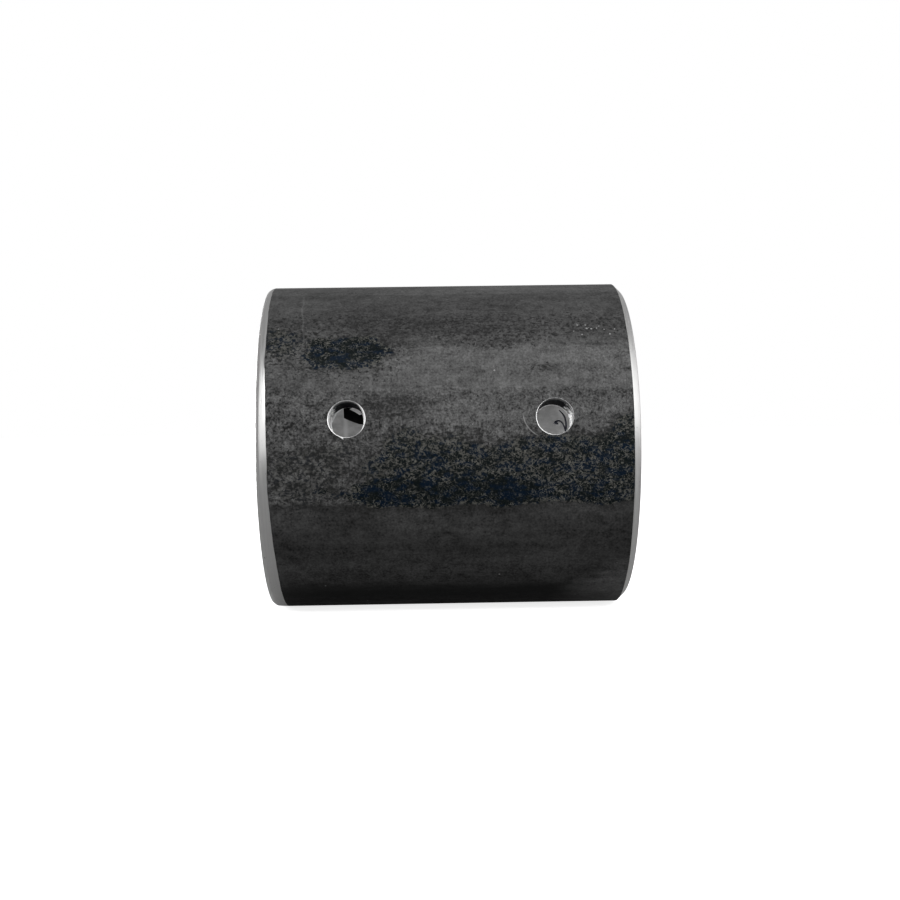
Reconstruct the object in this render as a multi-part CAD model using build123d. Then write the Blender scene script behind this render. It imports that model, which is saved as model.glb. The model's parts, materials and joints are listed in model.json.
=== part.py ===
from build123d import *
import os

# Sleeve of a rigid shaft coupling: one length of thick-walled steel tube, faced and bevelled at
# both ends, with two plain radial holes in line along one side.
# Millimetres, +Z up. The bore runs along X and the origin is the middle of the bore.
# The radial holes are on the front, the -Y side.

INCH = 25.4

# Tube
outer_diameter = 3 * INCH
wall = 5 / 16 * INCH
length = 3.25 * INCH

# Radial holes, drilled through one wall only
hole_diameter = 5 / 16 * INCH
hole_spacing = 1.75 * INCH
hole_offset = 0.5  # the pair sits this far to the right of the sleeve's middle
hole_tilt = 10.0  # degrees that the holes point above level

# Left end (-X): a shallow skim next to the tube's skin, then a small steep chamfer
skim_width = 1.5
skim_depth = 0.15
left_chamfer_width = 0.75
left_chamfer_depth = 0.5

# Right end (+X): one full bevel
right_bevel_width = 1.65
right_bevel_depth = 1.65

# Sharp corners taken off the bore at both faces
bore_edge_break = 0.5

outer_radius = outer_diameter / 2
bore_radius = outer_radius - wall
half_length = length / 2


def half_section():
    """The wall's section above the axis: X along the bore, Y the radius."""
    left_chamfer_end = -half_length + left_chamfer_width
    outline = Polyline(
        (-half_length + bore_edge_break, bore_radius),
        (-half_length, bore_radius + bore_edge_break),
        (-half_length, outer_radius - skim_depth - left_chamfer_depth),
        (left_chamfer_end, outer_radius - skim_depth),
        (left_chamfer_end + skim_width, outer_radius),
        (half_length - right_bevel_width, outer_radius),
        (half_length, outer_radius - right_bevel_depth),
        (half_length, bore_radius + bore_edge_break),
        (half_length - bore_edge_break, bore_radius),
        close=True,
    )
    return make_face(outline)


def radial_hole(x):
    """Cutter for the hole at x: it starts on the bore's axis and leaves through the front wall."""
    cutter = Cylinder(
        hole_diameter / 2, outer_diameter, align=(Align.CENTER, Align.CENTER, Align.MIN)
    )
    return Pos(x, 0, 0) * Rot(90 - hole_tilt, 0, 0) * cutter


def sleeve():
    """The whole sleeve, one closed solid."""
    tube = revolve(half_section(), Axis.X)
    for side in (-1, 1):
        tube -= radial_hole(hole_offset + side * hole_spacing / 2)
    return tube


os.makedirs("parts", exist_ok=True)
export_step(sleeve(), "parts/coupling_sleeve.step")
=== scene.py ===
import json
import math

import bmesh
import bpy
from mathutils import Matrix, Vector, noise


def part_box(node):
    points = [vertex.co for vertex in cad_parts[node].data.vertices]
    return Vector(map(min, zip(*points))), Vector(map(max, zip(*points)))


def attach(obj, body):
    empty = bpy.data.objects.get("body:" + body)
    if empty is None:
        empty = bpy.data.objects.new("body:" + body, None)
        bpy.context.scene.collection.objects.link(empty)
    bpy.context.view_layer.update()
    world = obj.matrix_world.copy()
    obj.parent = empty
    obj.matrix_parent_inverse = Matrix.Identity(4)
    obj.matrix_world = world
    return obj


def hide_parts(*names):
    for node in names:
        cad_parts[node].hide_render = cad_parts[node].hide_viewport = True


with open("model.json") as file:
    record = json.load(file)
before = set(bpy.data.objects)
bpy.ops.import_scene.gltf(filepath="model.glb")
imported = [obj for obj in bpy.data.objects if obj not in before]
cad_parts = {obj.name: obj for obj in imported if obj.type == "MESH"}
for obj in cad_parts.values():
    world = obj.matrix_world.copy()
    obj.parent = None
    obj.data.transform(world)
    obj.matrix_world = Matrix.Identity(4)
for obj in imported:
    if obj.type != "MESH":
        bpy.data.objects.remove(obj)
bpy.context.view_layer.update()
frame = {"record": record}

# ------------------------------------------------------------------ sizes, in metres, from the frame

MM = 0.001
NODE = "coupling_sleeve"
MOUNTS = {mount["name"]: mount for mount in frame["record"]["mounts"]}
BORE = MOUNTS["shaft_bore"]
HOLE_LEFT, HOLE_RIGHT = MOUNTS["hole_left"], MOUNTS["hole_right"]

node_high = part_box(NODE)[1]
HALF_LENGTH = node_high.x
OUTER_R = node_high.z
BORE_R = BORE["dims"]["r_mm"] * MM
BORE_EDGE = HALF_LENGTH - BORE["dims"]["length_mm"] * MM / 2
HOLE_R = HOLE_LEFT["dims"]["r_mm"] * MM
LEFT_X, RIGHT_X = HOLE_LEFT["pos_m"][0], HOLE_RIGHT["pos_m"][0]
MIDDLE_X = (LEFT_X + RIGHT_X) / 2

# End edges, as the design has them
SKIM_DEPTH = 0.15 * MM
SKIM_WIDTH = 1.5 * MM
LEFT_CHAMFER_WIDTH = 0.75 * MM
LEFT_CHAMFER_DEPTH = 0.5 * MM
RIGHT_BEVEL = 1.65 * MM
SKIM_TILT = 1.0 * MM    # the skim is this much wider below and narrower above

# How far the edges of the wall's section are rounded, and how far the skim's and bevel's edges wander
BEVEL_ROUND = 0.3 * MM
LEFT_RIM_ROUND = 0.12 * MM
EDGE_ROUND = 0.1 * MM
SKIM_WANDER = 0.14 * MM
SKIM_RIPPLE = 0.08 * MM
BEVEL_WANDER = 0.08 * MM

# Directions: along the bore, out through the radial holes, and round the wall from them, upwards
ALONG = Vector((1, 0, 0))
OUT = Vector(HOLE_LEFT["axis"]).normalized()
UP = OUT.cross(ALONG)

# Mesh density
AROUND = 288            # segments round the sleeve
CELLS_BETWEEN = 74      # lengthwise cells from one hole's centre to the other's
WINDOW_ALONG = 10       # cells from a hole's centre to the edge of its patch, lengthwise
WINDOW_AROUND = 8       # and round the sleeve
CELL = (RIGHT_X - LEFT_X) / CELLS_BETWEEN
TURN = 2 * math.pi / AROUND
PATCH_RINGS = 5         # rings between a patch's square edge and its hole
MOUTH_RINGS = 3         # rings round the bend of a hole's mouth
WALL_RINGS = 12         # rings down a hole's wall
END_ROWS = 4            # rows between the last lengthwise cell and an end's edge
LATTICE_LIMIT = HALF_LENGTH - 3.6 * MM      # the lengthwise cells stop before this
SHARP_ANGLE = math.radians(28)              # edges that turn by more than this look sharp

# Hole edges. Turns round a hole are in degrees, from the bore's direction upwards.
MOUTH_ROUND = 0.04 * MM
MOUTH_WORN = 0.16 * MM    # added to the lower left of each mouth, where the drill rubbed
MOUTH_WORN_AT = 205
MOUTH_ROLL = {"left": 0.5 * MM, "right": 0.0}     # metal rolled in over the right of the mouth
MOUTH_ROLL_AT = 8
SCORE_DEPTH = 0.015 * MM
LIP_START = 0.1 * MM      # the drilled wall ends this far short of the bore
LIP_FOOT = 0.4 * MM
LIP_HEIGHT = 0.35 * MM
LIP_THICKNESS = 0.15 * MM
LIP_LEAN = {"left": 0.42 * MM, "right": 0.14 * MM}
LIP_GAP = {"left": (5, 105), "right": (290, 300)}    # turns with almost no lip
LIP_TAPER = 25            # degrees over which the lip grows from the gap
TEAR_SEED = {"left": 3.0, "right": 11.0}
SKIN_DIP = 0.015 * MM     # the skin's mean depth under its greatest radius

# The skim leaves a little more of the skin at these places: degrees round the tube, and their spread
LEDGES = ((21, 6), (337, 9))
LEDGE_WIDTH = 0.28 * MM


def at(x, angle, radius):
    """The point at x along the bore, turned by angle from the holes' direction."""
    return ALONG * x + (OUT * math.cos(angle) + UP * math.sin(angle)) * radius


def rough(x, y, z, seed=0.0):
    """Smooth noise from about -1 to 1, the same on every run."""
    return noise.noise(Vector((x + seed, y + 2 * seed, z - seed)))


# ------------------------------------------------------------------ the sleeve's surfaces


def skim_edge(angle):
    """Where the skim cut at the left end runs out, which wanders because the tube isn't quite round."""
    ripple = SKIM_WANDER * rough(2.5 * math.cos(angle), 2.5 * math.sin(angle), 0.3)
    ripple += SKIM_RIPPLE * rough(20 * math.cos(angle), 20 * math.sin(angle), 0.8)
    for turn, spread in LEDGES:
        away = math.degrees(math.remainder(angle - math.radians(turn), 2 * math.pi))
        ripple -= LEDGE_WIDTH * math.exp(-(away / spread) ** 2)
    return -HALF_LENGTH + LEFT_CHAMFER_WIDTH + SKIM_WIDTH - SKIM_TILT * math.sin(angle) + ripple


def bevel_edge(angle):
    """Where the bevel at the right end meets the tube's skin."""
    wander = BEVEL_WANDER * rough(3 * math.cos(angle), 3 * math.sin(angle), 4.1)
    return HALF_LENGTH - RIGHT_BEVEL + wander


def skin_radius(x, angle):
    """The drawn skin is very slightly uneven round the tube, and almost straight along it."""
    across = rough(4 * math.cos(angle), 4 * math.sin(angle), x / (60 * MM), seed=7.0)
    return OUTER_R - SKIN_DIP * (1 + across)


def bore_radius(x, angle):
    """The bore is true, so its radius is the same at every place."""
    return BORE_R


def soft_corner(before, corner, after, size, steps=3):
    """Points that round a corner of the wall's section, as (x, radius)."""
    start = corner + (before - corner).normalized() * size
    end = corner + (after - corner).normalized() * size
    shares = [step / steps for step in range(steps + 1)]
    return [start * (1 - t) ** 2 + corner * 2 * t * (1 - t) + end * t ** 2 for t in shares]


def end_section(side):
    """The section's points from an end's outer edge round its face to the bore, as (x, radius)."""
    if side > 0:
        skin = Vector((HALF_LENGTH - RIGHT_BEVEL, OUTER_R))
        corners = [Vector((HALF_LENGTH, OUTER_R - RIGHT_BEVEL))]
        sizes = [BEVEL_ROUND]
    else:
        skin = Vector((-HALF_LENGTH + LEFT_CHAMFER_WIDTH + SKIM_WIDTH, OUTER_R))
        skim_foot = Vector((-HALF_LENGTH + LEFT_CHAMFER_WIDTH, OUTER_R - SKIM_DEPTH))
        corners = [skim_foot, Vector((-HALF_LENGTH, skim_foot.y - LEFT_CHAMFER_DEPTH))]
        sizes = [EDGE_ROUND, LEFT_RIM_ROUND]
    corners.append(Vector((side * HALF_LENGTH, BORE_R + BORE_EDGE)))
    corners.append(Vector((side * (HALF_LENGTH - BORE_EDGE), BORE_R)))
    sizes += [EDGE_ROUND, EDGE_ROUND]
    bore = Vector((side * (HALF_LENGTH - 3 * BORE_EDGE), BORE_R))
    route = [skin] + corners + [bore]
    points = []
    for before, corner, after, size in zip(route, corners, route[2:], sizes):
        points += soft_corner(before, corner, after, size)
    return points


class SleeveMesh:
    """The sleeve as one closed mesh: rows of points round it, with a patch of rings at each hole."""

    SKIN, TURNED, BORED, DRILLED, TORN = range(5)

    def __init__(self):
        self.points = []
        self.faces = []
        self.kinds = []

    def row(self, places):
        """Adds points and returns their numbers."""
        first = len(self.points)
        self.points += places
        return list(range(first, len(self.points)))

    def around(self, x, radius):
        """A row right round the sleeve; x and radius are functions of the angle."""
        return self.row([at(x(j * TURN), j * TURN, radius(j * TURN)) for j in range(AROUND)])

    def strip(self, one, two, kind, skip=()):
        """A closed band of quads between two rows of the same length."""
        for j in range(len(one)):
            if j not in skip:
                k = (j + 1) % len(one)
                self.faces.append((one[j], one[k], two[k], two[j]))
                self.kinds.append(kind)

    def lattice(self, radius, kind):
        """Rows one cell apart along a cylinder, open at both holes: (places, rows)."""
        count = int(LATTICE_LIMIT / CELL)
        xs = [MIDDLE_X + CELL * k for k in range(-count, count + 1)]
        rows = [self.around(lambda a, x=x: x, lambda a, x=x: radius(x, a)) for x in xs]
        window = set(range(WINDOW_AROUND)) | set(range(AROUND - WINDOW_AROUND, AROUND))
        for k in range(len(xs) - 1):
            middle = (xs[k] + xs[k + 1]) / 2
            away = min(abs(middle - LEFT_X), abs(middle - RIGHT_X))
            self.strip(rows[k], rows[k + 1], kind, window if away < WINDOW_ALONG * CELL else ())
        return xs, rows

    def bridge(self, one, two, kind, steps):
        """Straight rows from one row to another."""
        previous = one
        for step in range(1, steps):
            share = step / steps
            current = self.row([
                self.points[a].lerp(self.points[b], share) for a, b in zip(one, two)
            ])
            self.strip(previous, current, kind)
            previous = current
        self.strip(previous, two, kind)

    def patch(self, xs, rows, centre, radius, nominal, reach, turns, kind):
        """Rings that close in on a hole from its window's edge, down to reach from its axis.

        Returns the last ring. turns, the direction of each of its points, is filled in if empty."""
        start = min(range(len(xs)), key=lambda k: abs(xs[k] - centre)) - WINDOW_ALONG
        edge = [(start + k, j) for k, j in window_edge()]
        if not turns:
            turns += [math.atan2(nominal * math.sin(j * TURN), xs[k] - centre) for k, j in edge]
        previous = [rows[k][j % AROUND] for k, j in edge]
        for step in range(1, PATCH_RINGS + 1):
            share = step / PATCH_RINGS
            places = []
            for (k, j), turn in zip(edge, turns):
                x_in = centre + reach * math.cos(turn)
                angle_in = math.asin(reach * math.sin(turn) / nominal)
                x = xs[k] + (x_in - xs[k]) * share
                angle = j * TURN + (angle_in - j * TURN) * share
                places.append(at(x, angle, radius(x, angle)))
            current = self.row(places)
            self.strip(previous, current, kind)
            previous = current
        return previous

    def build(self, name, materials):
        """The mesh as an object, faces turned outwards and sharp edges kept sharp."""
        data = bpy.data.meshes.new(name)
        data.from_pydata([tuple(p) for p in self.points], [], self.faces)
        for material in materials:
            data.materials.append(material)
        data.polygons.foreach_set("material_index", self.kinds)
        shape = bmesh.new()
        shape.from_mesh(data)
        loose = [v for v in shape.verts if not v.link_faces]
        bmesh.ops.delete(shape, geom=loose, context="VERTS")
        bmesh.ops.recalc_face_normals(shape, faces=shape.faces)
        open_edges = sum(1 for e in shape.edges if not e.is_manifold)
        if open_edges:
            raise ValueError(f"{name} has {open_edges} open edges")
        shape.to_mesh(data)
        shape.free()
        data.shade_smooth()
        data.set_sharp_from_angle(angle=SHARP_ANGLE)
        made = bpy.data.objects.new(name, data)
        bpy.context.scene.collection.objects.link(made)
        return made


def window_edge():
    """Steps (lengthwise, round) along the square edge of a hole's window."""
    span, low, high = 2 * WINDOW_ALONG, -WINDOW_AROUND, WINDOW_AROUND
    edge = [(k, low) for k in range(span)]
    edge += [(span, j) for j in range(low, high)]
    edge += [(span - k, high) for k in range(span)]
    edge += [(0, high - j) for j in range(high - low)]
    return edge


def from_hole(centre, turn, reach, surface, lift=0.0):
    """A point reach from a hole's axis, lift above the cylinder of radius surface."""
    across = reach * math.sin(turn)
    height = math.sqrt(surface ** 2 - across ** 2) + lift
    return ALONG * (centre + reach * math.cos(turn)) + UP * across + OUT * height


def mouth_round(turn):
    """The rounding of a hole's mouth at this turn."""
    return MOUTH_ROUND + MOUTH_WORN * max(0.0, math.cos(turn - math.radians(MOUTH_WORN_AT))) ** 2


def mouth_roll(turn, side):
    """How far the metal at a hole's mouth is rolled in over the hole at this turn."""
    return MOUTH_ROLL[side] * max(0.0, math.cos(turn - math.radians(MOUTH_ROLL_AT))) ** 5


def tear(turn, seed):
    """How far the drill tore its exit edge at this turn, from 0.1 to about 1.3."""
    wide = rough(1.3 * math.cos(turn), 1.3 * math.sin(turn), 0.5, seed)
    fine = rough(6 * math.cos(turn), 6 * math.sin(turn), 1.5, seed)
    return max(0.1, 0.45 + 0.6 * wide + 0.5 * fine)


def lip_share(turn, gap):
    """1 where the hole's exit has a full lip, tapering to almost 0 inside the gap."""
    start, end = gap
    middle, half = math.radians((start + end) / 2), math.radians((end - start) / 2)
    away = abs(math.remainder(turn - middle, 2 * math.pi))
    return min(1.0, max(0.05, (away - half) / math.radians(LIP_TAPER)))


def add_hole(mesh, centre, skin, bore, side):
    """Opens one radial hole: a patch in the skin, a rounded mouth, the drilled wall and a torn lip."""
    turns = []
    seed = TEAR_SEED[side]
    mouth_reach = HOLE_R + MOUTH_ROUND + MOUTH_WORN
    mouth = mesh.patch(*skin, centre, skin_radius, OUTER_R, mouth_reach, turns, mesh.SKIN)
    foot = mesh.patch(*bore, centre, bore_radius, BORE_R, HOLE_R + LIP_FOOT, turns, mesh.BORED)
    rings = [mouth]

    def add(place):
        rings.append(mesh.row([place(turn) for turn in turns]))

    for step in range(MOUTH_RINGS + 1):
        bend = step / MOUTH_RINGS * math.pi / 2
        inward, down = math.sin(bend), 1 - math.cos(bend)
        add(lambda turn: from_hole(
            centre, turn, HOLE_R + mouth_round(turn) * (1 - inward) - mouth_roll(turn, side) * inward,
            OUTER_R, -SKIN_DIP - (mouth_round(turn) + mouth_roll(turn, side)) * down))
    for step in range(1, WALL_RINGS + 1):
        share = step / WALL_RINGS

        def wall(turn):
            roll = mouth_roll(turn, side)
            top = from_hole(centre, turn, HOLE_R - roll, OUTER_R, -SKIN_DIP - mouth_round(turn) - roll)
            bottom = from_hole(centre, turn, HOLE_R, BORE_R, LIP_START)
            score = SCORE_DEPTH * rough(9 * share, 3 * math.cos(turn), 3 * math.sin(turn), seed)
            return top.lerp(bottom, share) + (ALONG * math.cos(turn) + UP * math.sin(turn)) * score

        add(wall)
    wall_end = len(rings) - 1
    lean, gap = LIP_LEAN[side], LIP_GAP[side]

    def lip(turn):
        share = lip_share(turn, gap)
        reach = HOLE_R - lean * share * (0.5 + tear(turn, seed))
        return from_hole(centre, turn, reach, BORE_R, -LIP_HEIGHT * share * tear(turn, seed))

    def lip_back(turn):
        drop = 0.5 * LIP_HEIGHT * lip_share(turn, gap) * tear(turn, seed)
        return from_hole(centre, turn, HOLE_R + LIP_THICKNESS, BORE_R, -drop)

    add(lip)
    add(lip_back)
    rings.append(foot)
    mesh.strip(rings[0], rings[1], mesh.SKIN)
    for count in range(1, len(rings) - 1):
        kind = mesh.DRILLED if count < wall_end else mesh.TORN
        mesh.strip(rings[count], rings[count + 1], kind)


def make_sleeve(materials):
    """The whole sleeve. The materials are in the order of SleeveMesh's kinds."""
    mesh = SleeveMesh()
    skin = mesh.lattice(skin_radius, mesh.SKIN)
    bore = mesh.lattice(bore_radius, mesh.BORED)
    add_hole(mesh, LEFT_X, skin, bore, "left")
    add_hole(mesh, RIGHT_X, skin, bore, "right")
    for side, edge in ((-1, skim_edge), (1, bevel_edge)):
        last = 0 if side < 0 else -1
        rim = mesh.around(edge, lambda angle: skin_radius(edge(angle), angle))
        mesh.bridge(skin[1][last], rim, mesh.SKIN, END_ROWS)
        previous = rim
        for point in end_section(side):
            current = mesh.around(lambda a: point.x, lambda a: point.y)
            mesh.strip(previous, current, mesh.TURNED)
            previous = current
        mesh.bridge(previous, bore[1][last], mesh.BORED, END_ROWS)
    return mesh.build("sleeve", materials)


# ------------------------------------------------------------------ materials


class Shader:
    """A material and short names for the nodes that it is made of. Lengths are in millimetres."""

    def __init__(self, name):
        self.material = bpy.data.materials.new(name)
        self.material.use_nodes = True
        self.tree = self.material.node_tree
        self.bsdf = self.tree.nodes["Principled BSDF"]
        place = self.node("ShaderNodeTexCoord").outputs["Object"]
        self.place = self.scaled(place, (1 / MM,) * 3)
        parts = self.node("ShaderNodeSeparateXYZ")
        self.put(parts.inputs[0], self.place)
        self.x, self.y, self.z = parts.outputs

    def node(self, kind, **settings):
        made = self.tree.nodes.new(kind)
        for key, value in settings.items():
            setattr(made, key, value)
        return made

    def put(self, socket, value):
        if isinstance(value, bpy.types.NodeSocket):
            self.tree.links.new(value, socket)
        else:
            socket.default_value = value

    def scaled(self, vector, scale):
        made = self.node("ShaderNodeVectorMath", operation="MULTIPLY")
        self.put(made.inputs[0], vector)
        self.put(made.inputs[1], scale)
        return made.outputs[0]

    def math(self, operation, *values):
        made = self.node("ShaderNodeMath", operation=operation)
        for socket, value in zip(made.inputs, values):
            self.put(socket, value)
        return made.outputs[0]

    def remap(self, value, low, high, to_low=0.0, to_high=1.0, smooth=True):
        made = self.node("ShaderNodeMapRange")
        made.interpolation_type = "SMOOTHSTEP" if smooth else "LINEAR"
        for socket, number in zip(made.inputs, (value, low, high, to_low, to_high)):
            self.put(socket, number)
        return made.outputs[0]

    def noise(self, stretch, size, detail=2.0, roughness=0.5, distortion=0.0):
        """Noise whose features are about size mm, stretched by a factor along each axis."""
        made = self.node("ShaderNodeTexNoise")
        self.put(made.inputs["Vector"], self.scaled(self.place, tuple(1 / s for s in stretch)))
        self.put(made.inputs["Scale"], 1 / size)
        self.put(made.inputs["Detail"], detail)
        self.put(made.inputs["Roughness"], roughness)
        self.put(made.inputs["Distortion"], distortion)
        return made.outputs["Fac"]

    def lathe_marks(self, size, detail=2.0):
        """Noise in rings round the tube's axis, about size mm apart along the tube and across its face."""
        squares = self.math("ADD", self.math("POWER", self.y, 2.0), self.math("POWER", self.z, 2.0))
        place = self.node("ShaderNodeCombineXYZ")
        self.put(place.inputs[0], self.math("SQRT", squares))
        self.put(place.inputs[1], self.x)
        drift = self.math("MULTIPLY", self.math("ADD", self.y, self.z), RING_DRIFT)
        self.put(place.inputs[2], drift)
        made = self.node("ShaderNodeTexNoise")
        self.put(made.inputs["Vector"], place.outputs[0])
        self.put(made.inputs["Scale"], 1 / size)
        self.put(made.inputs["Detail"], detail)
        return made.outputs["Fac"]

    def mix(self, factor, one, two):
        made = self.node("ShaderNodeMix", data_type="RGBA")
        self.put(made.inputs["Factor"], factor)
        self.put(made.inputs[6], one)
        self.put(made.inputs[7], two)
        return made.outputs[2]

    def mixed(self, factor, one, two):
        """The same for plain numbers."""
        made = self.node("ShaderNodeMix", data_type="FLOAT")
        self.put(made.inputs["Factor"], factor)
        self.put(made.inputs[2], one)
        self.put(made.inputs[3], two)
        return made.outputs[0]

    def bump(self, height, strength, distance):
        made = self.node("ShaderNodeBump")
        self.put(made.inputs["Strength"], strength)
        self.put(made.inputs["Distance"], distance)
        self.put(made.inputs["Height"], height)
        return made.outputs[0]

    def finish(self, color, roughness, metallic, normal):
        self.put(self.bsdf.inputs["Base Color"], color)
        self.put(self.bsdf.inputs["Roughness"], roughness)
        self.put(self.bsdf.inputs["Metallic"], metallic)
        self.put(self.bsdf.inputs["Normal"], normal)
        return self.material


ANY = (1, 1, 1)
LENGTHWISE = (14, 1, 1)       # streaks that run along the tube
RING_DRIFT = 0.02             # how fast the tool's rings change on their way round

# The dark skin on the front, in millimetres along the tube and above its axis
SCALE_TONE = 0.0645           # mean reflectance of its grey
LOW_SKIN_TONE_AND_SHADE = 0.51               # the same below the blue band, as a part of it: partly the skin's own darker tone, partly painted shade on the lower side
BAND_TOP, BAND_BOTTOM, BAND_START = 4.6, -12.0, -18.0
BAND_PEAK = 0.66              # how dark the blue band is outside its patches
UNDERSIDE_SHADE = -30.8             # painted shade: the skin is darkened almost to black below this, on its underside
RISE_START, RISE_FULL = -21.0, -28.0    # and a little paler just above it
RISE = 0.65
RISE_RIGHT, RISE_RIGHT_END = 24.0, 32.0    # but not at the right end
# painted highlight: a paler band across the skin's front, where it reflects the key light
PAINTED_HIGHLIGHT_BAND = (12.6, 22.0)
DULL_BAND = (24.0, 30.0)
DULL_PEAK = 0.38
# painted sheen: above this height the skin is paler, for the room's reflection along its top edge
PAINTED_SHEEN_BOTTOM = 34.9
DARK_PATCHES = {              # name: (x, z, half width, half height, how dark)
    "over_left_hole": (-22.0, 20.8, 9.5, 4.2, 0.85),
    "round_that": (-25.0, 22.0, 17.0, 7.0, 0.42),
    "left_edge": (-36.0, 23.0, 7.0, 4.4, 0.6),
    "beside_left_hole": (-11.0, 9.0, 8.0, 2.8, 0.45),
    "above_middle": (12.0, 24.8, 14.0, 3.2, 0.42),
    "over_right_hole": (20.6, 17.3, 3.0, 1.0, 0.4),
    "band_core": (0.5, -9.2, 25.0, 3.4, 0.92),
    "right_end": (38.5, -1.0, 5.0, 8.0, 0.75),
    "low_right": (32.0, -10.0, 9.0, 2.6, 0.75),
    "between_holes": (-8.5, 2.6, 3.5, 2.6, 0.6),
    "left_low": (-29.0, -5.0, 14.0, 8.0, 0.52),
}
STROKES_X, STROKES_Z = (-20.0, 20.0), (0.0, 6.0)    # upright strokes at the blue band's top
CHIPS_X, CHIPS_Z = (28.0, 36.0), (24.0, 27.5)       # where chips crowd
SCRATCH_X, SCRATCH_Z = -31.8, 28.0      # the middle of the scratch at the left
SCRATCH_RISE = (23.0, 33.5)
ARC_X, ARC_Z, ARC_R = 21.5, 7.6, 5.7    # the circle of the scratch by the right hole
ARC_SPAN, ARC_RISE = (15.5, 19.0), (2.6, 7.0)
RUBBED_RING = (-26.6, -25.6)            # a bright ring in the bore, behind the left hole
PALE_CLOUDS = {               # name: (x, z, half width, half height)
    "under_band_left": (-8.5, -15.5, 5.5, 2.2),
    "under_band_middle": (6.5, -17.0, 3.5, 3.0),
    "left_edge": (-33.0, -15.0, 6.0, 2.0),
    "right_edge": (36.0, 18.0, 9.0, 4.0),
}
FLOOR_REFLECTION_CORNER = (40.0, -36.0, 11.0, 7.5)   # painted reflection: the underside is paler grey here, for the white floor that it reflects


def grey(value, tint=(1.0, 1.0, 1.0)):
    """A colour of this reflectance, tinted."""
    return (value * tint[0], value * tint[1], value * tint[2], 1.0)


def spot(s, ragged, x, z, half_width, half_height, peak=1.0):
    """peak inside an ellipse on the skin, falling to 0 outside it, with a ragged edge."""
    across = s.math("POWER", s.math("DIVIDE", s.math("SUBTRACT", s.x, x), half_width), 2.0)
    upward = s.math("POWER", s.math("DIVIDE", s.math("SUBTRACT", s.z, z), half_height), 2.0)
    spread = s.math("ADD", s.math("ADD", across, upward), s.math("MULTIPLY", ragged, 3.0))
    return s.remap(spread, 2.4, 0.1, 0.0, peak)


def between(s, value, low, high, soft):
    """1 where value lies from low to high, with soft edges."""
    above = s.remap(value, low - soft, low + soft)
    below = s.remap(value, high + soft, high - soft)
    return s.math("MULTIPLY", above, below)


def darkness(s, front, ragged):
    """How much of the skin is blue-black, from 0 to 1."""
    height = s.math("ADD", s.z, s.math("MULTIPLY", ragged, 14.0))
    band = s.remap(height, BAND_TOP + 4.5, BAND_TOP - 5.5, 0.0, BAND_PEAK)
    bottom = s.math("ADD", s.z, s.math("MULTIPLY", ragged, 3.0))
    band = s.math("MULTIPLY", band, s.remap(bottom, BAND_BOTTOM - 0.8, BAND_BOTTOM + 0.8))
    along = s.math("ADD", s.x, s.math("MULTIPLY", ragged, 20.0))
    band = s.math("MULTIPLY", band, s.remap(along, BAND_START - 6.0, BAND_START + 5.0))
    for place in DARK_PATCHES.values():
        band = s.math("MAXIMUM", band, spot(s, ragged, *place))
    band = s.math("MAXIMUM", band, s.math("MULTIPLY", between(s, s.z, *DULL_BAND, 2.5), DULL_PEAK))
    behind = s.remap(s.noise((2.5, 1, 1), 17.0, detail=4.0, roughness=0.6), 0.45, 0.62, 0.1, 0.75)
    return s.mixed(front, behind, band)


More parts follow.
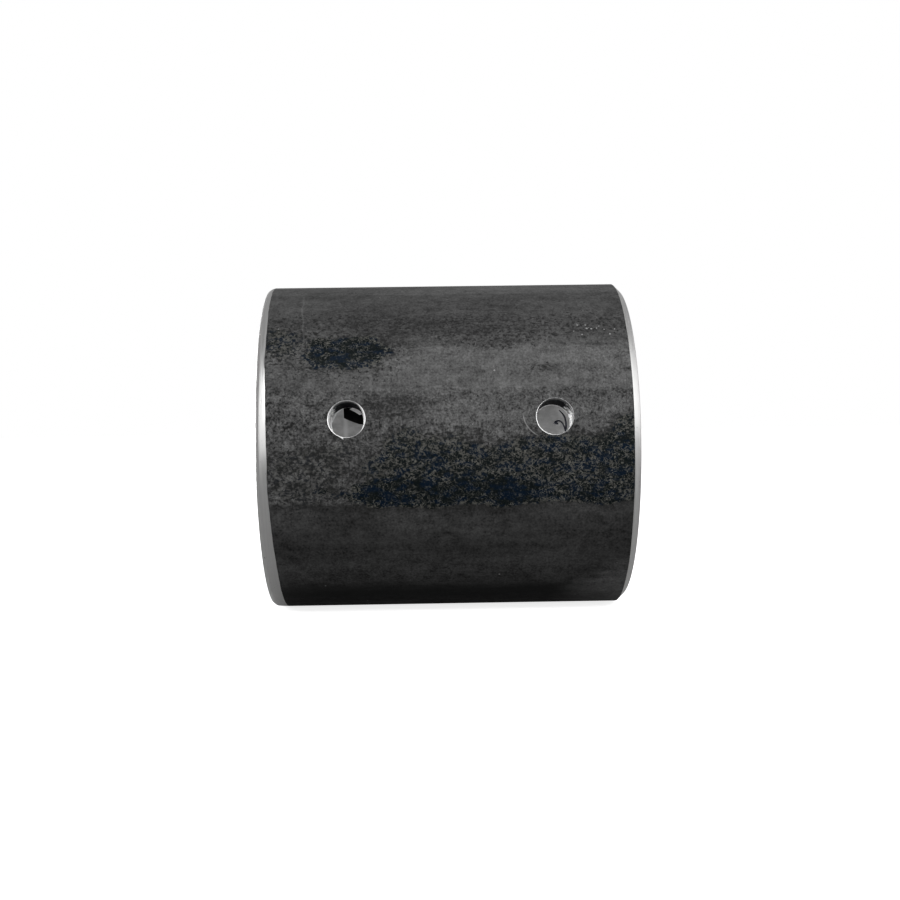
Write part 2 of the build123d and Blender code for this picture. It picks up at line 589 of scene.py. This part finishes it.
def grey_tone(s, front, ragged, mottle, grain):
    """The grey skin's brightness between its blue-black specks, about 1. It also carries painted light: a
    highlight band, a sheen along the top, a floor reflection at the lower right, shade on the underside,
    and partly painted shade below the blue band.
    """
    wavy = s.math("ADD", s.z, s.math("MULTIPLY", ragged, 3.0))
    low = s.remap(wavy, BAND_BOTTOM + 1.5, BAND_BOTTOM - 0.4)
    # painted highlight: the skin's tone is raised in a band where it reflects the key light
    pale = between(s, s.z, *PAINTED_HIGHLIGHT_BAND, 0.6)
    middle = between(s, s.z, BAND_BOTTOM, PAINTED_HIGHLIGHT_BAND[0], 1.0)
    strokes = s.noise((0.5, 3, 3), 0.9, detail=2.0, distortion=0.6)
    stroke_rows = between(s, s.z, *STROKES_Z, 2.0)
    stroke_columns = between(s, s.x, *STROKES_X, 6.0)
    stroke_place = s.math("MULTIPLY", s.math("MULTIPLY", stroke_rows, stroke_columns), front)
    calm = s.remap(s.z, 27.0, 31.0, 1.0, 0.85)
    parts = (
        (s.noise((2.4, 1, 1), 11.0, detail=3.0), 1.3),
        (s.noise(LENGTHWISE, 2.2, detail=3.0, roughness=0.6), 0.7),
        (mottle, s.remap(middle, 0.0, 1.0, 1.8, 3.2, smooth=False)),
        (grain, s.remap(middle, 0.0, 1.0, 2.2, 4.2, smooth=False)),
        (strokes, s.remap(stroke_place, 0.0, 1.0, 0.5, 2.0, smooth=False)),
    )
    tone = 1.0
    for pattern, strength in parts:
        tone = s.math("ADD", tone, s.math("MULTIPLY", s.math("SUBTRACT", pattern, 0.5), strength))
    tone = s.mixed(calm, 1.0, tone)
    bands = s.math("ADD", s.remap(s.z, 23.0, 27.0, 1.0, 0.8), s.math("MULTIPLY", pale, 0.22))
    # painted sheen along the top of the skin
    painted_sheen = s.remap(s.z, PAINTED_SHEEN_BOTTOM - 0.3, PAINTED_SHEEN_BOTTOM + 0.3, 0.0, 0.25)
    bands = s.math("ADD", bands, painted_sheen)
    for place in PALE_CLOUDS.values():
        bands = s.math("ADD", bands, spot(s, ragged, *place, 0.3))
    # below the blue band the tone drops: partly the skin's own colour, partly painted shade
    bands = s.math("MULTIPLY", bands, s.remap(low, 0.0, 1.0, 1.0, LOW_SKIN_TONE_AND_SHADE))
    # painted shade: below the underside line the tone falls to about a quarter
    under = s.remap(wavy, UNDERSIDE_SHADE - 2.4, UNDERSIDE_SHADE + 2.2, 0.24, 1.0)
    rise = s.remap(s.x, RISE_RIGHT_END, RISE_RIGHT, 0.0, RISE)
    rise = s.math("MULTIPLY", s.remap(s.z, RISE_START, RISE_FULL), rise)
    under = s.math("MULTIPLY", under, s.math("ADD", rise, 1.0))
    # painted reflection of the white floor at the lower right of the underside
    bands = s.math("MULTIPLY", bands, s.math("ADD", under, spot(s, ragged, *FLOOR_REFLECTION_CORNER, 2.2)))
    return s.math("MAXIMUM", s.math("MULTIPLY", tone, s.mixed(front, 0.8, bands)), 0.12)


def chips(s, front):
    """A few bright points, chipped scale and dust, with a crowd of them at the front's upper right."""
    cells = s.node("ShaderNodeTexVoronoi", feature="F1")
    s.put(cells.inputs["Vector"], s.place)
    s.put(cells.inputs["Scale"], 1.0)
    chance = s.node("ShaderNodeSeparateColor")
    s.put(chance.inputs[0], cells.outputs["Color"])
    crowd = s.math("MULTIPLY", between(s, s.x, *CHIPS_X, 2.0), between(s, s.z, *CHIPS_Z, 1.0))
    crowd = s.math("MULTIPLY", crowd, front)
    rare = s.math("GREATER_THAN", chance.outputs[0], s.remap(crowd, 0.0, 1.0, 0.99, 0.2, smooth=False))
    size = s.remap(chance.outputs[1], 0.0, 1.0, 0.07, 0.24, smooth=False)
    return s.math("MULTIPLY", rare, s.math("LESS_THAN", cells.outputs["Distance"], size))


def scratches(s, front):
    """Two light scratches: one that runs round the tube at the left, and a short arc by the right hole."""
    wander = s.math("MULTIPLY", s.math("SUBTRACT", s.noise(ANY, 3.0), 0.5), 1.2)
    lean = s.math("ADD", s.math("MULTIPLY", s.math("SUBTRACT", s.z, SCRATCH_Z), 0.08), wander)
    off_line = s.math("ABSOLUTE", s.math("ADD", s.math("SUBTRACT", s.x, SCRATCH_X), lean))
    line = s.math("MULTIPLY", s.remap(off_line, 0.3, 0.05), between(s, s.z, *SCRATCH_RISE, 1.5))
    across = s.math("SUBTRACT", s.x, ARC_X)
    upward = s.math("SUBTRACT", s.z, ARC_Z)
    far = s.math("SQRT", s.math("ADD", s.math("POWER", across, 2.0), s.math("POWER", upward, 2.0)))
    arc = s.remap(s.math("ABSOLUTE", s.math("SUBTRACT", far, ARC_R)), 0.16, 0.04)
    arc = s.math("MULTIPLY", arc, between(s, s.x, *ARC_SPAN, 0.3))
    arc = s.math("MULTIPLY", arc, between(s, s.z, *ARC_RISE, 0.4))
    both = s.math("MAXIMUM", s.math("MULTIPLY", line, 0.09), s.math("MULTIPLY", arc, 0.4))
    return s.math("MULTIPLY", both, front)


def pale_between(s, tone, dark, crowded):
    """The colour of the skin between its specks: plain grey, and a tinted tone where they crowd."""
    plain = s.node("ShaderNodeCombineColor")
    for socket in plain.inputs:
        s.put(socket, tone)
    open_tone, core_tone = grey(0.064, (1.02, 1.0, 0.9)), grey(0.038, (0.95, 1.0, 1.0))
    crowded_tone = s.mix(s.remap(dark, 0.7, 0.9), open_tone, core_tone)
    return s.mix(s.math("MULTIPLY", crowded, 0.8), plain.outputs[0], crowded_tone)


def speck_cover(s, dark, crowded, grain):
    """1 inside a blue-black speck; the specks grow together and sharpen as dark rises."""
    blobs = s.noise((1.3, 1, 1), 0.6, detail=2.0, roughness=0.65, distortion=0.5)
    cover = s.math("MULTIPLY", s.math("SUBTRACT", dark, 0.48), 3.2)
    cover = s.math("ADD", cover, s.math("MULTIPLY", s.math("SUBTRACT", blobs, 0.5), 7.0))
    cover = s.math("ADD", cover, s.math("MULTIPLY", s.math("SUBTRACT", grain, 0.5), 4.0))
    cover = s.math("DIVIDE", cover, s.remap(crowded, 0.0, 1.0, 1.0, 0.6, smooth=False))
    return s.remap(cover, -0.95, 0.95)


def speck_color(s, crowded):
    """Grey-black for a lone speck; between blue and green-black where they crowd."""
    tint = s.remap(s.noise((1.8, 1, 1), 1.7, detail=3.0, roughness=0.6), 0.45, 0.6)
    green_black, blue = grey(0.0045, (0.55, 1.0, 1.1)), grey(0.006, (0.15, 0.9, 2.2))
    return s.mix(crowded, grey(0.017), s.mix(tint, green_black, blue))


def pale_threads(s, dark, crowded, mottle):
    """Thin pale threads that wind between crowded specks."""
    winding = s.noise((1.2, 1, 1), 0.7, detail=1.0, distortion=0.8)
    thread = s.remap(s.math("ABSOLUTE", s.math("SUBTRACT", winding, 0.5)), 0.04, 0.012)
    thread = s.math("MULTIPLY", thread, s.remap(mottle, 0.42, 0.56, 0.1, 0.9))
    return s.math("MULTIPLY", s.math("MULTIPLY", thread, crowded), s.remap(dark, 0.75, 1.0, 1.0, 0.35))


def mill_scale():
    """Dark oxide skin of hot-finished tube: mottled grey, with blue-black specks that crowd in patches."""
    s = Shader("mill_scale")
    thread_tone, scratch_tone, chip_tone = grey(0.095, (1.01, 1.0, 0.9)), grey(0.35), grey(0.3)
    front = s.remap(s.y, 4.0, -4.0)
    ragged = s.math("SUBTRACT", s.noise((2.0, 1, 1), 5.0, detail=5.0, roughness=0.66), 0.5)
    mottle = s.noise((1.3, 1, 1), 2.0, detail=4.0, roughness=0.66)
    grain = s.noise(ANY, 0.5, detail=2.0, roughness=0.7)

    tone = s.math("MULTIPLY", grey_tone(s, front, ragged, mottle, grain), SCALE_TONE)
    dark = darkness(s, front, ragged)
    crowded = s.remap(dark, 0.45, 0.65)
    cover = speck_cover(s, dark, crowded, grain)
    color = s.mix(cover, pale_between(s, tone, dark, crowded), speck_color(s, crowded))
    color = s.mix(pale_threads(s, dark, crowded, mottle), color, thread_tone)
    color = s.mix(scratches(s, front), color, scratch_tone)
    chipped = s.math("MULTIPLY", chips(s, front), s.remap(crowded, 0.0, 1.0, 0.7, 0.0, smooth=False))
    color = s.mix(chipped, color, chip_tone)

    height = s.math("ADD", s.math("MULTIPLY", mottle, 0.6), s.math("MULTIPLY", grain, 0.5))
    height = s.math("SUBTRACT", height, s.math("MULTIPLY", cover, 0.25))
    roughness = s.remap(s.math("ADD", mottle, grain), 0.8, 1.2, 0.48, 0.66)
    s.bsdf.inputs["Specular IOR Level"].default_value = 0.06
    return s.finish(color, roughness, 0.0, s.bump(height, 0.45, 0.06 * MM))


def turned_steel():
    """Bright steel of the faces and bevels, with fine rings from the turning tool."""
    s = Shader("turned_steel")
    rings = s.lathe_marks(0.35)
    cloud = s.noise(ANY, 5.0, detail=3.0)
    steel = s.mix(s.math("ADD", s.math("MULTIPLY", rings, 0.7), s.math("MULTIPLY", cloud, 0.3)),
                  grey(0.52), grey(0.72, (1.0, 0.995, 0.98)))
    pits = s.remap(s.noise(ANY, 0.5, detail=2.0, roughness=0.7), 0.66, 0.72, 0.0, 0.6)
    pits = s.math("MULTIPLY", pits, s.remap(cloud, 0.45, 0.6))
    roughness = s.remap(rings, 0.3, 0.7, 0.28, 0.42)
    height = s.math("SUBTRACT", rings, pits)
    return s.finish(s.mix(pits, steel, grey(0.15)), roughness, 1.0, s.bump(height, 0.35, 0.02 * MM))


def bored_steel():
    """Grey bored wall: rings from the boring bar and a thin, blotchy bloom of oxide."""
    s = Shader("bored_steel")
    rings = s.lathe_marks(0.45, detail=3.0)
    cloud = s.remap(s.noise((1.5, 1, 1), 2.2, detail=4.0, roughness=0.65), 0.35, 0.65)
    color = s.mix(s.math("ADD", s.math("MULTIPLY", rings, 0.4), s.math("MULTIPLY", cloud, 0.6)),
                  grey(0.36), grey(0.58))
    rubbed = s.math("MULTIPLY", between(s, s.x, *RUBBED_RING, 0.5), 0.6)
    color = s.mix(rubbed, color, grey(0.75))
    return s.finish(color, s.remap(rings, 0.3, 0.7, 0.5, 0.65), 0.8, s.bump(rings, 0.4, 0.03 * MM))


def drilled_steel():
    """Bright drilled wall with feed rings, darkened almost to black by painted shade on its upper side,
    which faces down.
    """
    s = Shader("drilled_steel")
    rings = s.noise((4, 1, 4), 0.3, detail=2.0)
    facing = s.node("ShaderNodeSeparateXYZ")
    s.put(facing.inputs[0], s.node("ShaderNodeNewGeometry").outputs["Normal"])
    patchy = s.noise(ANY, 1.1, detail=3.0, roughness=0.6)
    downward = s.math("ADD", facing.outputs[2], s.math("MULTIPLY", s.math("SUBTRACT", patchy, 0.5), 1.6))
    depth = s.node("ShaderNodeVectorMath", operation="DOT_PRODUCT")
    s.put(depth.inputs[0], s.place)
    s.put(depth.inputs[1], tuple(OUT))
    mouth = OUTER_R / MM
    deeper = s.remap(depth.outputs["Value"], mouth - 0.5, mouth - 3.0, 0.75, 1.0)
    # painted shade: the upper wall of each hole, which faces down, is darkened almost to black away from
    # the mouth
    painted_shade = s.math("MULTIPLY", s.remap(downward, -0.4, -0.66), deeper)
    color = s.mix(painted_shade, s.mix(rings, grey(0.8), grey(0.95)), grey(0.003, (0.8, 1.0, 1.3)))
    metal = s.remap(painted_shade, 0.0, 1.0, 1.0, 0.0, smooth=False)
    s.bsdf.inputs["Specular IOR Level"].default_value = 0.05
    return s.finish(color, s.remap(rings, 0.3, 0.7, 0.55, 0.75), metal, s.bump(rings, 0.9, 0.05 * MM))


# ------------------------------------------------------------------ burrs inside the radial holes

# The torn cap that hangs in the left hole, the flake over it, and a burr outside, at the mouth.
# Each outline is (along, up) from the hole's axis, in millimetres. The cap's is closed by an arc
# just behind the hole's wall, in degrees round the hole.
CAP_TEAR = ((3.5, 0.1), (2.3, 0.2), (1.1, 0.6), (-0.3, 1.2), (-1.1, 1.6), (-0.6, 2.4), (-1.2, 3.7))
CAP_SPLINTER = ((0.2, 3.4), (0.8, 3.8), (1.8, 3.4), (2.6, 2.9), (2.9, 2.3), (2.4, 2.1), (1.5, 2.7))
CAP_ARC = (106, 2)
CAP_BEHIND = 0.05
MOUTH_BURR = ((-1.8, -3.7), (-1.2, -4.1), (-0.7, -4.4), (-0.9, -3.9))
# The run of the swarf in the right hole: (along, up, thickness)
SWARF_ARC = ((1.7, 2.8, 0.2), (2.9, 1.4, 0.4), (3.2, -0.6, 0.4), (3.0, -2.0, 0.5))
SWARF_HOOK = ((3.0, -2.0, 0.4), (2.6, -0.5, 0.3), (1.9, 0.4, 0.3), (1.0, 0.3, 0.5), (0.9, -0.3, 1.2))


def in_hole(centre, along, up, surface, depth):
    """A point in a hole by its place across the hole, depth inside the cylinder of radius surface."""
    across = up * MM
    height = math.sqrt(surface ** 2 - across ** 2) - depth
    return ALONG * (centre + along * MM) + UP * across + OUT * height


def closed_mesh(name, shape, material, smooth):
    """A finished object from a bmesh, which is freed."""
    bmesh.ops.triangulate(shape, faces=[f for f in shape.faces if len(f.verts) > 4])
    bmesh.ops.recalc_face_normals(shape, faces=shape.faces)
    data = bpy.data.meshes.new(name)
    shape.to_mesh(data)
    shape.free()
    if smooth:
        data.shade_smooth()
    data.materials.append(material)
    piece = bpy.data.objects.new(name, data)
    bpy.context.scene.collection.objects.link(piece)
    return piece


def make_plate(name, centre, outline, surface, depth, thickness, material):
    """A thin torn flake from its outline across the hole; its far corner sinks a little."""
    shape = bmesh.new()
    top, under = [], []
    for along, up in outline:
        sink = depth + 0.03 * (along + up) * MM
        top.append(shape.verts.new(in_hole(centre, along, up, surface, sink)))
        under.append(shape.verts.new(in_hole(centre, along, up, surface, sink + thickness)))
    shape.faces.new(top)
    shape.faces.new(list(reversed(under)))
    for one, two, three, four in zip(top, under, under[1:] + under[:1], top[1:] + top[:1]):
        shape.faces.new((one, two, three, four))
    return closed_mesh(name, shape, material, False)


def softened(points, rounds=2):
    """The same open run of points with its corners cut."""
    for _ in range(rounds):
        cut = [points[0]]
        for one, two in zip(points, points[1:]):
            cut += [one.lerp(two, 0.25), one.lerp(two, 0.75)]
        points = cut + [points[-1]]
    return points


def make_wire(name, centre, route, material, sides=10):
    """A thread of swarf along its run across the hole; it sinks towards its end."""
    stations = []
    for count, (along, up, thickness) in enumerate(route):
        middle = in_hole(centre, along, up, BORE_R, (0.3 + 0.05 * count) * MM)
        stations.append(Vector((*middle, thickness * MM / 2)))
    stations = softened(stations)
    shape = bmesh.new()
    rings = []
    for count, station in enumerate(stations):
        before, after = stations[max(count - 1, 0)], stations[min(count + 1, len(stations) - 1)]
        way = (after - before).to_3d().normalized()
        across = way.cross(OUT).normalized()
        over = across.cross(way)
        turns = [2 * math.pi * side / sides for side in range(sides)]
        ring = [
            station.to_3d() + (across * math.cos(turn) + over * math.sin(turn)) * station.w
            for turn in turns
        ]
        rings.append([shape.verts.new(place) for place in ring])
    for one, two in zip(rings, rings[1:]):
        for side in range(sides):
            after = (side + 1) % sides
            shape.faces.new((one[side], one[after], two[after], two[side]))
    shape.faces.new(rings[0])
    shape.faces.new(rings[-1])
    return closed_mesh(name, shape, material, True)


def stained_steel(name, dark, pale):
    """Torn steel with a matt skin, mottled between two colours."""
    s = Shader(name)
    stain = s.noise(ANY, 0.4, detail=2.0)
    s.bsdf.inputs["Specular IOR Level"].default_value = 0.05
    return s.finish(s.mix(stain, dark, pale), 0.7, 0.0, s.bump(stain, 0.3, 0.02 * MM))


def torn_steel():
    """Bare torn steel of the burrs."""
    s = Shader("torn_steel")
    marks = s.noise(ANY, 0.3, detail=2.0)
    return s.finish(s.mix(marks, grey(0.6), grey(0.9)), 0.55, 0.5, s.bump(marks, 0.6, 0.04 * MM))


def rim_arc(reach, start, end, steps):
    """Points on a circle round the hole's axis, by degrees, in millimetres."""
    turns = [math.radians(start + (end - start) * step / steps) for step in range(steps + 1)]
    return [(reach * math.cos(turn), reach * math.sin(turn)) for turn in turns]


def make_burrs(bright):
    """The burrs and swarf in both holes, as a list of objects."""
    # the torn cap's near-black colour is painted shade: its side towards the camera lies in shadow
    dark = stained_steel("cap_painted_shade", grey(0.001), grey(0.004))
    bare = stained_steel("bare_flake", grey(0.7), grey(1.0))
    blued = stained_steel("blued_swarf", grey(0.01, (0.8, 0.9, 1.3)), grey(0.05, (0.9, 0.95, 1.2)))
    cap = CAP_TEAR + tuple(rim_arc(HOLE_R / MM + CAP_BEHIND, *CAP_ARC, 14))
    return [
        make_plate("torn_cap", LEFT_X, cap, BORE_R, 0.0, 0.12 * MM, dark),
        make_plate("torn_splinter", LEFT_X, CAP_SPLINTER, BORE_R, -0.9 * MM, 0.1 * MM, bare),
        make_plate("mouth_burr", LEFT_X, MOUTH_BURR, OUTER_R, 0.1 * MM, 0.2 * MM, bright),
        make_wire("swarf_arc", RIGHT_X, SWARF_ARC, blued),
        make_wire("swarf_hook", RIGHT_X, SWARF_HOOK, blued),
    ]


# ------------------------------------------------------------------ studio

CAMERA_ELEVATION = math.radians(1.4)
CAMERA_YAW = math.radians(1.06)       # the right end is further away
CAMERA_ROLL = math.radians(-0.812)
CAMERA_DISTANCE = 8.241 * OUTER_R
CAMERA_OFF_X = -0.0225 * OUTER_R      # the sleeve's middle sits this far off the lens axis
CAMERA_OFF_UP = 0.0325 * OUTER_R
LENS, SENSOR = 51.9, 36.0

LIGHTS = {      # name: (azimuth, elevation, distance, size, brightness)
    "key": (12, 38, 0.8, (0.66, 0.36), 7.4),
    "left_front": (-20, 6, 0.8, (0.16, 0.48), 1.95),
    "right_side": (96, 20, 0.7, (0.35, 0.4), 1.75),
    "through_left": (-124, 4, 0.7, (0.44, 0.26), 18.0),     # shines through the bore to the holes
    "right_front": (66, 8, 0.7, (0.14, 0.3), 7.0),
}
FLOOR_R = 4.0
FLOOR_GAP = 0.2 * MM            # between the floor that shows and the one under it
ROOM_TONE = 0.36                # of the room that the sleeve reflects


def make_camera():
    """The camera, about a third of a metre in front of the sleeve and a little above its axis."""
    level = Vector((0, math.cos(CAMERA_ELEVATION), -math.sin(CAMERA_ELEVATION)))
    forward = level * math.cos(CAMERA_YAW) + ALONG * math.sin(CAMERA_YAW)
    right = forward.cross(Vector((0, 0, 1))).normalized()
    up = right.cross(forward)
    right = right * math.cos(CAMERA_ROLL) + up * math.sin(CAMERA_ROLL)
    up = right.cross(forward)
    place = -forward * CAMERA_DISTANCE - right * CAMERA_OFF_X - up * CAMERA_OFF_UP
    data = bpy.data.cameras.new("camera")
    data.lens, data.sensor_width = LENS, SENSOR
    data.clip_start, data.clip_end = 0.01, 20.0
    camera = bpy.data.objects.new("camera", data)
    camera.matrix_world = Matrix.Translation(place) @ Matrix((right, up, -forward)).transposed().to_4x4()
    bpy.context.scene.collection.objects.link(camera)
    bpy.context.scene.camera = camera


def soft_light(name, azimuth, elevation, distance, size, brightness):
    """A soft box that faces the sleeve. Azimuth is from the front towards the right end, in degrees.

    brightness is its radiance, where 1 is the backdrop's white."""
    turn, rise = math.radians(azimuth), math.radians(elevation)
    way = Vector((math.sin(turn) * math.cos(rise), -math.cos(turn) * math.cos(rise), math.sin(rise)))
    data = bpy.data.lights.new(name, "AREA")
    data.shape = "RECTANGLE"
    data.size, data.size_y = size
    data.energy = brightness * math.pi * size[0] * size[1]
    light = bpy.data.objects.new(name, data)
    light.location = way * distance
    light.rotation_mode = "QUATERNION"
    light.rotation_quaternion = (-way).to_track_quat("-Z", "Y")
    bpy.context.scene.collection.objects.link(light)


def pale_surface(name, color, glow):
    """A matt pale material that glows a little."""
    material = bpy.data.materials.new(name)
    material.use_nodes = True
    bsdf = material.node_tree.nodes["Principled BSDF"]
    bsdf.inputs["Base Color"].default_value = grey(color)
    bsdf.inputs["Roughness"].default_value = 0.9
    bsdf.inputs["Emission Color"].default_value = grey(1.0)
    bsdf.inputs["Emission Strength"].default_value = glow
    return material


def make_floor(name, height, material):
    """A plain disc under the sleeve."""
    bpy.ops.mesh.primitive_circle_add(
        vertices=96, radius=FLOOR_R, fill_type="NGON", location=(0, 0, height))
    floor = bpy.context.object
    floor.name = name
    floor.data.materials.append(material)
    return floor


def make_studio():
    """A white floor for the eye, and a greyer one, unseen, for what the sleeve reflects."""
    floor = make_floor("floor", -OUTER_R, pale_surface("pale_floor", 0.9, 0.8))
    floor.visible_diffuse = False
    floor.visible_glossy = False
    bounce = make_floor("bounce_floor", -OUTER_R - FLOOR_GAP, pale_surface("grey_floor", 0.6, 0.08))
    bounce.visible_camera = False
    bounce.visible_shadow = False
    make_world()
    for name, settings in LIGHTS.items():
        soft_light(name, *settings)


def make_world():
    """Even white for the eye, and a soft grey room for the light that reaches the sleeve."""
    world = bpy.data.worlds.new("studio")
    bpy.context.scene.world = world
    world.use_nodes = True
    tree = world.node_tree
    mix = tree.nodes.new("ShaderNodeMix")
    mix.data_type = "RGBA"
    path = tree.nodes.new("ShaderNodeLightPath")
    tree.links.new(path.outputs["Is Camera Ray"], mix.inputs["Factor"])
    mix.inputs[6].default_value = grey(ROOM_TONE)
    mix.inputs[7].default_value = grey(1.0)
    tree.links.new(mix.outputs[2], tree.nodes["Background"].inputs["Color"])


bpy.context.scene.view_settings.view_transform = "Standard"
torn = torn_steel()
sleeve = make_sleeve([mill_scale(), turned_steel(), bored_steel(), drilled_steel(), torn])
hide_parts(NODE)
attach(sleeve, "root")

for burr in make_burrs(torn):
    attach(burr, "root")

make_camera()
make_studio()
